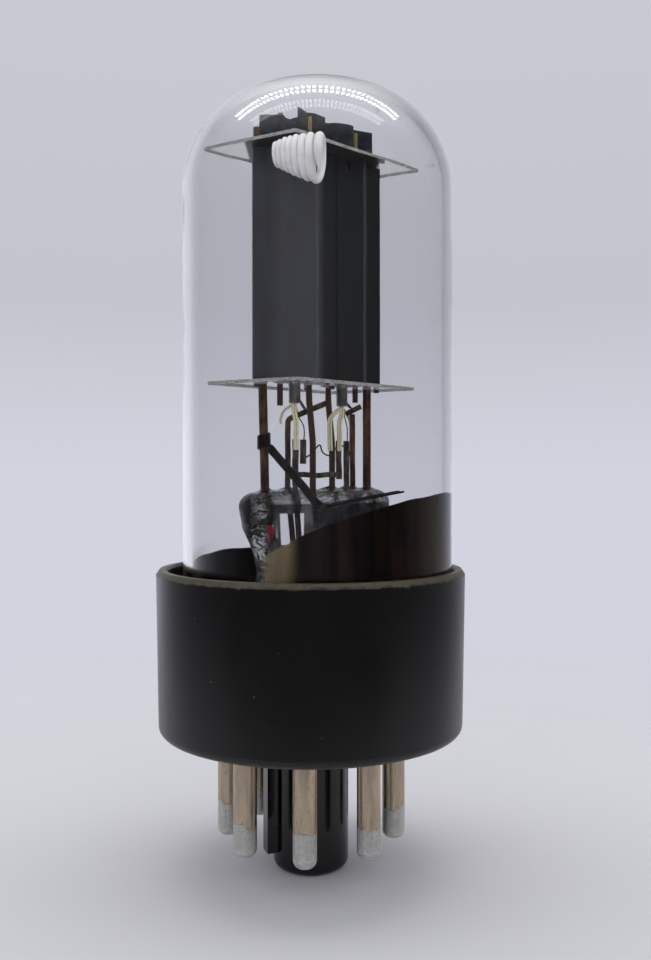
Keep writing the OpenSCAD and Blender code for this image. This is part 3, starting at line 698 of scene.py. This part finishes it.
def make_stem():
    """Flare, tube and pinch in one piece of glass, with the lumps that pressing leaves."""
    tube_r, wall, rim_r, low = 6.5, 0.9, BULB_R - BULB_WALL, BULB_LOW.z
    sweep = rim_r - tube_r
    hub = (rim_r, low + 1 + sweep)
    turn = math.radians(33)
    steps = 120
    # height, half length, half thickness and squareness of the pinch's sections
    pressed = [(27.2, 6.5, 6.5, 2.0), (30.6, 6.6, 6.3, 2.0), (32.4, 6.9, 5.5, 2.1),
               (34.2, 7.6, 4.2, 2.4), (36.0, 8.5, 2.9, 2.7), (37.8, 9.0, 2.4, 2.8),
               (38.9, 8.8, 2.2, 2.8), (39.5, 8.2, 1.8, 2.6), (39.75, 7.2, 1.35, 2.4),
               (PINCH_TOP, 5.0, 0.9, 2.2), (PINCH_TOP, 2.4, 0.45, 2.0)]

    def round_ring(r, z):
        return [Vector((BULB_X + r * math.cos(a), r * math.sin(a), z))
                for a in (2 * math.pi * k / steps + turn for k in range(steps))]

    def pinch_ring(z, a, b, square):
        ring = []
        for k in range(steps):
            t = 2 * math.pi * k / steps
            c, s = math.cos(t), math.sin(t)
            x = a * math.copysign(abs(c) ** (2 / square), c)
            y = b * math.copysign(abs(s) ** (2 / square), s)
            p = Vector((PINCH_X + x * math.cos(turn) - y * math.sin(turn),
                        PINCH_Y + x * math.sin(turn) + y * math.cos(turn), z))
            soft = min(max((z - 32) / 4, 0), 1)
            out = Vector((x, y, 0)).normalized()
            out = Vector((out.x * math.cos(turn) - out.y * math.sin(turn),
                          out.x * math.sin(turn) + out.y * math.cos(turn), 0))
            p += out * soft * (0.22 * drift(p, 2.4, 2.0) + 0.10 * drift(p, 0.9, 3.0))
            near = min((p.to_2d() - lead).length for lead in LEADS)
            top = min(max((z - 38.5) / 1.2, 0), 1)
            p.z += top * (0.5 * math.exp(-(near / 0.55) ** 2) + 0.18 * drift(p, 1.6, 5.0) - 0.2)
            ring.append(p)
        return ring

    cavity = [round_ring(1.5, 31.4), round_ring(3.6, 31.2), round_ring(5.0, 30.5),
              round_ring(tube_r - wall, 29.4)]
    for i in range(10):
        a = math.radians(9 * i)
        cavity.append(round_ring(hub[0] - (sweep + wall) * math.cos(a),
                                 hub[1] - (sweep + wall) * math.sin(a)))
    flare = [round_ring(rim_r - 0.8, low), round_ring(rim_r - 0.05, low)]
    for i in range(10, -1, -1):
        a = math.radians(9 * i)
        flare.append(round_ring(hub[0] - sweep * math.cos(a) - 0.05,
                                hub[1] - sweep * math.sin(a)))
    shape = curve_through([(z, a, b) for z, a, b, _ in pressed], 4)
    square = curve_through([(q, 0, 0) for *_, q in pressed], 4)
    glass = Solid()
    glass.rings(cavity + flare
                + [pinch_ring(*p, q.x) for p, q in list(zip(shape, square))[1:]])
    add(glass.build("stem", 60), "stem_glass", "glass_stem")


def make_getter_flash():
    """A band of metal film. Its mark is its thickness, from 0 to 1.

    It lies just inside the thickness of the bulb's wall, so that it is seen up to the bulb's edge.
    """
    into_wall, thick, low, rows, columns = 0.06, 0.04, 24.0, 34, 180
    outer = BULB_R - BULB_WALL + into_wall

    def wrapped(turn):
        """The same angle, counted from the seam at the left of the back."""
        return turn if turn < 160 else turn - 360

    def top_edge(turn):
        """High at the right of the front, and a low rim round the back."""
        front = 39.4 - 0.00066 * (wrapped(turn) + 20) ** 2
        back = 32.2 + 0.65 * math.cos(math.radians(turn - 110))
        a = math.radians(turn)
        return max(front, back) + 0.12 * drift((4 * math.cos(a), 4 * math.sin(a), 0), 0.9, 4.0)

    def cover(turn):
        """How much of the film is there: it dies away at the left of the front."""
        near = wrapped(turn)
        return min((near + 114) / 24, 1) if near > -150 else (-165 - near) / 35

    film = Solid()
    profiles, marks = [], []
    for i in range(columns):
        turn = -120 + 360 * i / columns
        a = math.radians(turn)
        high = top_edge(turn)
        soft = 0.14 + 2.2 * min(max((-96 - turn) / 14, 0), 1)
        column = []
        for j in range(rows + 1):
            z = low + (high - low) * (1 - (1 - j / rows) ** 1.8)
            mark = min((high - z) / soft, cover(turn))
            column.append((z, min(max(mark, 0), 1)))
        sides = ((outer, column), (outer - thick, column[::-1]))
        profiles.append([(BULB_X + r * math.cos(a), r * math.sin(a), z)
                         for r, side in sides for z, _ in side])
        marks += [mark for _, side in sides for _, mark in side]
    film.rings(profiles, loop=True, marks=marks)
    add(film.build("getter_mirror", 60), "getter_mirror", "getter_flash")


# ---- wires, coils and straps -----------------------------------------------------------


def wavy(path, amount, size, seed):
    """The same path with the small bends that wires get from handling."""
    return [p + amount * Vector((drift(p, size, seed), drift(p, size, seed + 7), 0))
            for p in path]


def in_pinch(lead, z):
    """Where a lead is inside the glass: it leans to the pinch's axis on its way down."""
    centre = Vector((PINCH_X, PINCH_Y))
    depth = 8.3                                      # below this it leans no further
    share = min((PINCH_TOP - z) / depth, 1)
    place = centre + (1 - 0.45 * share) * (lead - centre)
    return Vector((place.x, place.y, z))


def make_leads():
    """The posts that carry the cathodes, and the two inner grid rods, which are leads too."""
    def foot(i):
        x, y = LEADS[i]
        return [in_pinch(LEADS[i], SEAL_TOP), Vector((x, y, PINCH_TOP)), Vector((x, y, 41.2))]

    post = Solid()
    path = eased(foot(1) + [Vector((-2.34, -2.1, 46.9)), Vector((1.75, -2.06, 48.62))], 0.4)
    post.tube(wavy(fine_steps(path, 0.5), 0.04, 3.0, 17), 0.30, 16)
    add(post.build("left_cathode_post", 50), "oxidised_rod", "left_cathode_lead")
    x, y = LEADS[6]
    post = Solid()
    post.tube(wavy(curve_through(foot(6) + [(x, y, 44.4), (x, y, 47.7)], 6), 0.05, 2.5, 3), 0.31)
    post.tube([(3.72, y - 0.02, 47.70), (4.5, y, 48.1), (5.42, y + 0.02, 48.56)], 0.29)
    add(post.build("right_cathode_post", 50), "oxidised_rod", "right_cathode_lead")
    for unit, side, name, i in ((LEFT, 1, "left_grid_rod_right", 3),
                                (RIGHT, -1, "right_grid_rod_left", 4)):
        top = unit.at(1.55 * side, 0, 78.0)
        x, y = LEADS[i]
        path = foot(i) + [Vector((x, y, 44.6)), Vector((top.x, top.y, 48.9)), top]
        path = fine_steps(eased(path, 0.5), 0.6)
        rod = Solid()
        rod.tube(path, [0.33 if p.z < 49.8 else 0.3 for p in path], 16)
        add(rod.build(name + "_wire", 50), "grid_rod_copper", name)


# Where the two ends of each heater meet their tapes, in the unit's own (u, v)
HEATER_FEET = {"left": [(-0.05, -0.4), (1.0, 0.3)], "right": [(-0.5, -0.4), (0.6, 0.2)]}


def strand(coil, path, radius, coat):
    """Adds a smooth wire to a heater. coat is 1 where it is coated and 0 where it is bare."""
    first = len(coil.points)
    coil.tube(curve_through(path, 5), radius, 10)
    coil.marks[first:] = [coat] * (len(coil.points) - first)


def make_heaters():
    """Coated wire, doubled: up each sleeve and out again to its tapes, bare at the welds."""
    for name, unit in UNITS.items():
        coil = Solid()
        for dx in (-0.16, 0.16):                     # up and down inside the sleeve
            strand(coil, [unit.at(dx, 0.1, z) for z in (48.2, 60.0, 73.0)], 0.11, 1.0)
            strand(coil, [unit.at(dx, 0.1, 48.2), unit.at(1.1 * dx, 0, 47.6),
                          unit.at(0, -0.1, 47.2)], 0.05, 0.0)
        (u0, v0), (u1, v1) = HEATER_FEET[name]
        front = v0 - 0.2
        for dx in (-0.14, 0.14):                     # the coated pair to the first tape
            strand(coil, [unit.at(dx - 0.1, -0.2, 48.4), unit.at(dx - 0.15, -0.35, 47.6),
                          unit.at(u0 + dx, front, 46.6), unit.at(u0 + dx, front, 45.4),
                          unit.at(u0 + dx * 0.9, front, 43.7)], 0.135, 1.0)
        strand(coil, [unit.at(0.2, 0.1, 48.3), unit.at(0.45, 0.2, 47.2),
                      unit.at(u1 + 0.05, v1 - 0.16, 46.0), unit.at(u1, v1 - 0.12, 43.9)],
               0.06, 0.0)
        if name == "right":                          # a loose coated loop in front of a post
            for dx in (-0.15, 0.15):
                strand(coil, [unit.at(-0.3, -0.3, 48.3), unit.at(-1.1 + dx, -0.9, 47.7),
                              unit.at(-1.75 + dx, -1.1, 46.9), unit.at(-1.8 + dx, -1.15, 45.4),
                              unit.at(-1.75 + dx, -1.15, 43.7)], 0.13, 1.0)
            strand(coil, [unit.at(0.3, 0.5, 48.3), unit.at(1.3, 1.6, 47.6),
                          unit.at(1.75, 1.9, 46.6), unit.at(1.7, 1.9, 44.0)], 0.14, 1.0)
        else:
            strand(coil, [unit.at(-0.3, 0.2, 48.3), unit.at(-0.9, 0.9, 47.7),
                          unit.at(-1.15, 1.1, 46.9), unit.at(-1.1, 1.1, 46.4)], 0.14, 1.0)
        add(coil.build(name + "_heater_wire", 50), "heater_coat", name + "_heater")


def make_heater_tapes():
    """Thin nickel tapes under the heaters, the bar that ties two of them, and the link wire."""
    # which tape runs on into the pinch, which lead it becomes, and where the other one ends
    runs_on = {"left": (0, 2, 42.3), "right": (1, 5, 40.7)}
    top_z, steps = 44.8, 8
    for name, unit in UNITS.items():
        lead, i, low = runs_on[name]
        across = Vector((unit.u.x, unit.u.y, 0))
        tape = Solid()
        for k, (u, v) in enumerate(HEATER_FEET[name]):
            foot = PINCH_TOP + 0.3 if k == lead else low
            path = [unit.at(u, v, foot + (top_z - foot) * j / steps) for j in range(steps + 1)]
            path = [p + 0.05 * Vector((drift(p, 1.5, k), drift(p, 1.5, k + 3), 0)) for p in path]
            tape.strip(path, 0.66, 0.12, across)
            if k == lead:
                base = unit.at(u, v, 0).to_2d()
                tape.tube([in_pinch(LEADS[i], SEAL_TOP), (base.x, base.y, PINCH_TOP),
                           (base.x, base.y, PINCH_TOP + 0.9)], 0.28)
        add(tape.build(name + "_tapes", 30, 0.02), "nickel_tape", name + "_heater_tapes")
    a, b = LEFT.at(-0.05, -0.2, 41.15), RIGHT.at(-0.5, -0.6, 41.15)
    bar = Solid()
    bar.strip([a + (b - a) * k / 10 + Vector((0, 0, 0.06 * math.sin(k))) for k in range(11)],
              0.55, 0.16, (0, 0, 1))
    add(bar.build("link_bar", 30, 0.02), "nickel_tape", "heater_link_bar")
    wire = Solid()
    wire.tube(curve_through([LEFT.at(1.0, 0.48, 42.7), (0.1, -1.6, 43.4), (0.9, -0.6, 44.3),
                             (1.2, -0.1, 43.6), (1.7, 0.9, 43.25), (2.2, 1.9, 43.4),
                             (3.0, 2.5, 44.4), (3.9, 2.6, 43.9), (4.2, 2.5, 43.4),
                             RIGHT.at(0.6, 0.38, 43.0)], 8), 0.085, 10)
    add(wire.build("link_wire", 50), "dark_wire", "heater_link_wire")


def in_rod(z):
    """The left support rod's axis at a height: it leans a little."""
    top_u, lean, top_z, rise = -3.75, 0.85, 76.4, 38.4
    return LEFT.at(top_u + lean * (top_z - z) / rise, 0.66, z)


GETTER_BEND, GETTER_END = Vector((1.2, -8.0, 37.9)), Vector((8.75, -5.1, 39.25))


def make_getter_strap():
    """A tape wound round the left rod that twists and runs down to the getter's trough."""
    rod = in_rod(44.5)
    strap = Solid()
    wrap_r, wrap_z, sag, steps = 0.62, 44.9, 0.55, 12
    wrap = [(rod.x + wrap_r * math.cos(a), rod.y + wrap_r * math.sin(a), wrap_z - sag * k / steps)
            for k, a in ((k, math.radians(70 - 300 * k / steps)) for k in range(steps + 1))]
    strap.strip(wrap, 1.3, 0.12, (0, 0, 1))
    bend = GETTER_BEND
    start = Vector((rod.x + 0.3, rod.y - 0.66, 44.3))
    path = curve_through([start, start.lerp(bend, 0.12), start.lerp(bend, 0.4),
                          start.lerp(bend, 0.72), bend + Vector((-0.75, 0.28, 0.75)),
                          bend + Vector((0.05, 0.02, 0.16)),
                          bend + Vector((0.95, 0.30, 0.26))], 7)
    rings = []
    for i, (p, ahead) in enumerate(zip(path, headings(path))):
        t = i / (len(path) - 1)
        face = Vector((ahead.y, -ahead.x, 0)).normalized()
        flat = ahead.cross(face).normalized()
        leaving = max(0.0, 1 - t / 0.2)              # turned one way where it leaves the rod
        lying = min(max((t - 0.76) / 0.16, 0), 1)    # and the same way again on the trough
        side = (flat * (1 - leaving) * (1 - lying) + face * (leaving + lying)).normalized()
        rings.append(flat_section(p, ahead, side, 0.86, 0.14))
    strap.rings(rings)
    add(strap.build("strap", 40, 0.02), "getter_metal", "getter_strap")


def make_getter_trough():
    """The shallow open trough at the strap's end."""
    trough = Solid()
    run = GETTER_END - GETTER_BEND
    along = run.normalized()
    across = Vector((-along.y, along.x, 0)).normalized()
    up = along.cross(across)
    lift = Vector((0.3, 0, 0.22))
    section = [(-0.80, 0.14), (-0.80, -0.05), (0.80, -0.05), (0.80, 0.14), (0.70, 0.14),
               (0.68, 0.03), (-0.68, 0.03), (-0.70, 0.14)]
    widths = [(0, 0.55), (0.06, 0.9), (0.12, 1.0), (0.5, 1.02), (0.94, 1.0), (1.0, 0.85)]
    trough.rings([[GETTER_BEND + lift + along * run.length * t + across * w * wide + up * h
                   for w, h in section] for t, wide in widths])
    add(trough.build("trough", 30), "getter_metal", "getter_trough")


def make_coil():
    """Coated wire in loops that grow, spread and sink towards the open end."""
    turns, steps, run = 7.4, 36, 5.26
    start = Vector((-3.2, -7.4, MICA_UNDER - 1.8))
    axis_turn, loop_turn = math.radians(-28), math.radians(10)
    along = Vector((math.cos(axis_turn), math.sin(axis_turn), 0))
    back = Vector((math.sin(loop_turn), math.cos(loop_turn), 0))
    count = int(turns * steps)
    path, radii = [], []
    for i in range(count + 1):
        t = i / count
        a = math.radians(90 + 360 * i / steps)
        r = 1.05 + 1.5 * t - 0.35 * t * t
        r += 0.05 * drift((3 * t, math.cos(a), math.sin(a)), 0.5, 2.0)
        lean = math.cos(a) - 0.2 * (1 - math.sin(a))
        path.append(start + along * run * (0.75 * t + 0.25 * t**3) + back * r * lean
                    + Vector((0, 0, r * math.sin(a) - 1.3 * t**1.5)))
        tip = min(1.0, (count - i) / 7 + 0.25)
        radii.append((0.25 + 0.17 * t**1.4) * tip * (1 + 0.06 * drift(path[-1], 0.7, 3.0)))
    coil = Solid()
    coil.tube(path, radii, 14)
    add(coil.build("coil", 60), "white_coat", "mica_spring")


make_bulb()
make_stem()
make_getter_flash()
make_leads()
make_heaters()
make_heater_tapes()
make_getter_strap()
make_getter_trough()
make_coil()


# ---- stage -----------------------------------------------------------------------------


def make_floor():
    """A pale floor that fades into the backdrop and hides nothing when seen from below.

    Glossy reflections pass through it on the open side, to the dark part of the tent.
    """
    floor = Solid()
    size, thick = 900, 1
    floor.rings([[(-size, -size, z), (size, -size, z), (size, size, z), (-size, size, z)]
                 for z in (-thick, 0)])
    obj = floor.build("floor")
    p = Paint("floor")
    paper = p.grain(40, 3, 0.5)
    colour = p.blend(paper, (0.57, 0.565, 0.58), (0.59, 0.585, 0.60))
    solid = p.principled(Base_Color=colour, Roughness=0.75, Specular_IOR_Level=0.2)
    face = p.node("NewGeometry").outputs
    below = p.math("MAXIMUM", face["Backfacing"], p.math("LESS_THAN", p.part("Z", face["Normal"])))
    open_side = p.times(p.along("Y", -35, -70), p.node("LightPath").outputs["Is Glossy Ray"])
    gone = p.math("MAXIMUM", p.between(p.length(p.place), 0.05, 0.16),
                  p.math("MAXIMUM", open_side, below))
    obj.data.materials.append(p.close(p.mixed(gone, solid, p.clear())))


def make_world():
    """A light tent round the tube, which is open on the side of someone who faces it.

    The eye sees its pale backdrop. Surfaces are lit by a brighter fill, strongest from the open
    side. Glossy reflections see a dark open side, a bright back and a bright ceiling. Rays that
    came through glass see whichever of the three they would have seen without it.
    """
    world = bpy.data.worlds.new("tent")
    bpy.context.scene.world = world
    world.use_nodes = True
    tree = world.node_tree
    tree.nodes.clear()

    def node(kind, **settings):
        made = tree.nodes.new("ShaderNode" + kind)
        for key, value in settings.items():
            setattr(made, key, value)
        return made

    way = node("SeparateXYZ")
    tree.links.new(node("TexCoord").outputs["Generated"], way.inputs[0])

    def ramp(axis, *stops):
        """Grey levels or colours along an axis of the direction, from -1 to 1."""
        lift = node("MapRange")
        for socket, value in zip(lift.inputs[1:5], (-1, 1, 0, 1)):
            socket.default_value = value
        tree.links.new(way.outputs[axis], lift.inputs[0])
        made = node("ValToRGB")
        tree.links.new(lift.outputs[0], made.inputs[0])
        band = made.color_ramp
        while len(band.elements) < len(stops):
            band.elements.new(0.5)
        for element, (place, colour) in zip(band.elements, stops):
            element.position = (place + 1) / 2
            element.color = (*(colour if isinstance(colour, tuple) else [colour] * 3), 1)
        return made.outputs[0]

    def mixed(share, a, b, how="MIX"):
        made = node("Mix", data_type="RGBA", blend_type=how)
        for socket, item in zip((made.inputs[0], made.inputs[6], made.inputs[7]), (share, a, b)):
            if isinstance(item, bpy.types.NodeSocket):
                tree.links.new(item, socket)
            else:
                socket.default_value = item
        return made.outputs[2]

    def times(a, b):
        return mixed(1.0, a, b, "MULTIPLY")

    backdrop = ramp("Z", (-0.12, (0.640, 0.650, 0.730)), (0.0, (0.640, 0.652, 0.735)),
                    (0.17, (0.545, 0.558, 0.615)), (0.40, (0.575, 0.585, 0.635)))
    depth = ramp("Y", (-0.98, 0.10), (-0.6, 0.02), (0.0, 0.11), (0.45, 0.30), (0.95, 0.85))
    sides = times(depth, ramp("X", (-0.2, 1.0), (0.5, 0.62)))
    ceiling = ramp("Z", (0.6, 0.0), (0.95, 0.34))
    mirrored = times(mixed(1.0, times(backdrop, sides), ceiling, "ADD"), (1.8, 1.8, 1.8, 1))
    front = ramp("Y", (-0.8, 1.0), (0.2, 0.7))
    fill = times(times(backdrop, front), (1.75, 1.75, 1.71, 1))
    rays = node("LightPath").outputs
    through = mixed(rays["Diffuse Depth"], mixed(rays["Glossy Depth"], backdrop, mirrored), fill)
    seen = mixed(rays["Is Glossy Ray"], fill, mirrored)
    seen = mixed(rays["Is Transmission Ray"], seen, through)
    seen = mixed(rays["Is Camera Ray"], seen, backdrop)
    light = node("Background")
    tree.links.new(seen, light.inputs["Color"])
    out = node("OutputWorld")
    tree.links.new(light.outputs[0], out.inputs["Surface"])


def soft_light(name, place, aim, size, power, colour):
    """A large area lamp that leaves no glint of its own in glass or metal."""
    lamp = bpy.data.lights.new(name, "AREA")
    lamp.shape = "RECTANGLE"
    lamp.size, lamp.size_y = (s * MM for s in size)
    lamp.energy = power
    lamp.color = colour
    obj = bpy.data.objects.new(name, lamp)
    obj.location = Vector(place) * MM
    way = Vector(aim) - Vector(place)
    obj.rotation_euler = way.to_track_quat("-Z", "Y").to_euler()
    obj.visible_glossy = False
    obj.visible_transmission = False
    bpy.context.scene.collection.objects.link(obj)


def make_led_strip(name, y, strength):
    """A long row of small lamps over the tube, which shows only as glints."""
    count, pitch, height = 40, 10.6, 325
    half_x, half_y, thick = 3.0, 13, 2
    strip = Solid()
    for i in range(count):
        c = Vector(((i - (count - 1) / 2) * pitch, y, height))
        strip.rings([[c + Vector((sx * half_x, sy * half_y, z))
                      for sx, sy in ((-1, -1), (1, -1), (1, 1), (-1, 1))] for z in (0, thick)])
    obj = strip.build(name)
    p = Paint(name)
    glow = p.node("Emission", Color=(1.0, 0.98, 1.0), Strength=strength).outputs[0]
    obj.data.materials.append(p.close(glow))
    obj.visible_camera = False
    obj.visible_diffuse = False


def make_camera():
    """Stands about 104 mm in front of the tube's axis, half way up it and almost level."""
    data = bpy.data.cameras.new("camera")
    data.sensor_fit = "VERTICAL"
    data.sensor_height = 36
    data.lens = 36.79
    data.clip_start = 0.005
    data.clip_end = 20
    obj = bpy.data.objects.new("camera", data)
    obj.location = Vector((1.547, -103.7, 41.4)) * MM
    obj.rotation_euler = (math.radians(90 - 0.43), 0, 0)
    bpy.context.scene.collection.objects.link(obj)
    bpy.context.scene.camera = obj


make_floor()
make_world()
make_led_strip("led_strip_back", 50, 8.0)
make_led_strip("led_strip_front", -63, 4.0)
soft_light("top", (0, 30, 330), (0, 0, 30), (260, 110), 0.38, (1.0, 0.99, 1.0))
soft_light("left", (-260, 20, 140), (0, 0, 40), (220, 260), 0.14, (0.93, 0.95, 1.0))
soft_light("right", (260, 20, 140), (0, 0, 40), (220, 260), 0.12, (0.95, 0.96, 1.0))
make_camera()
bpy.context.scene.view_settings.view_transform = "Standard"
bpy.context.scene.view_settings.look = "None"
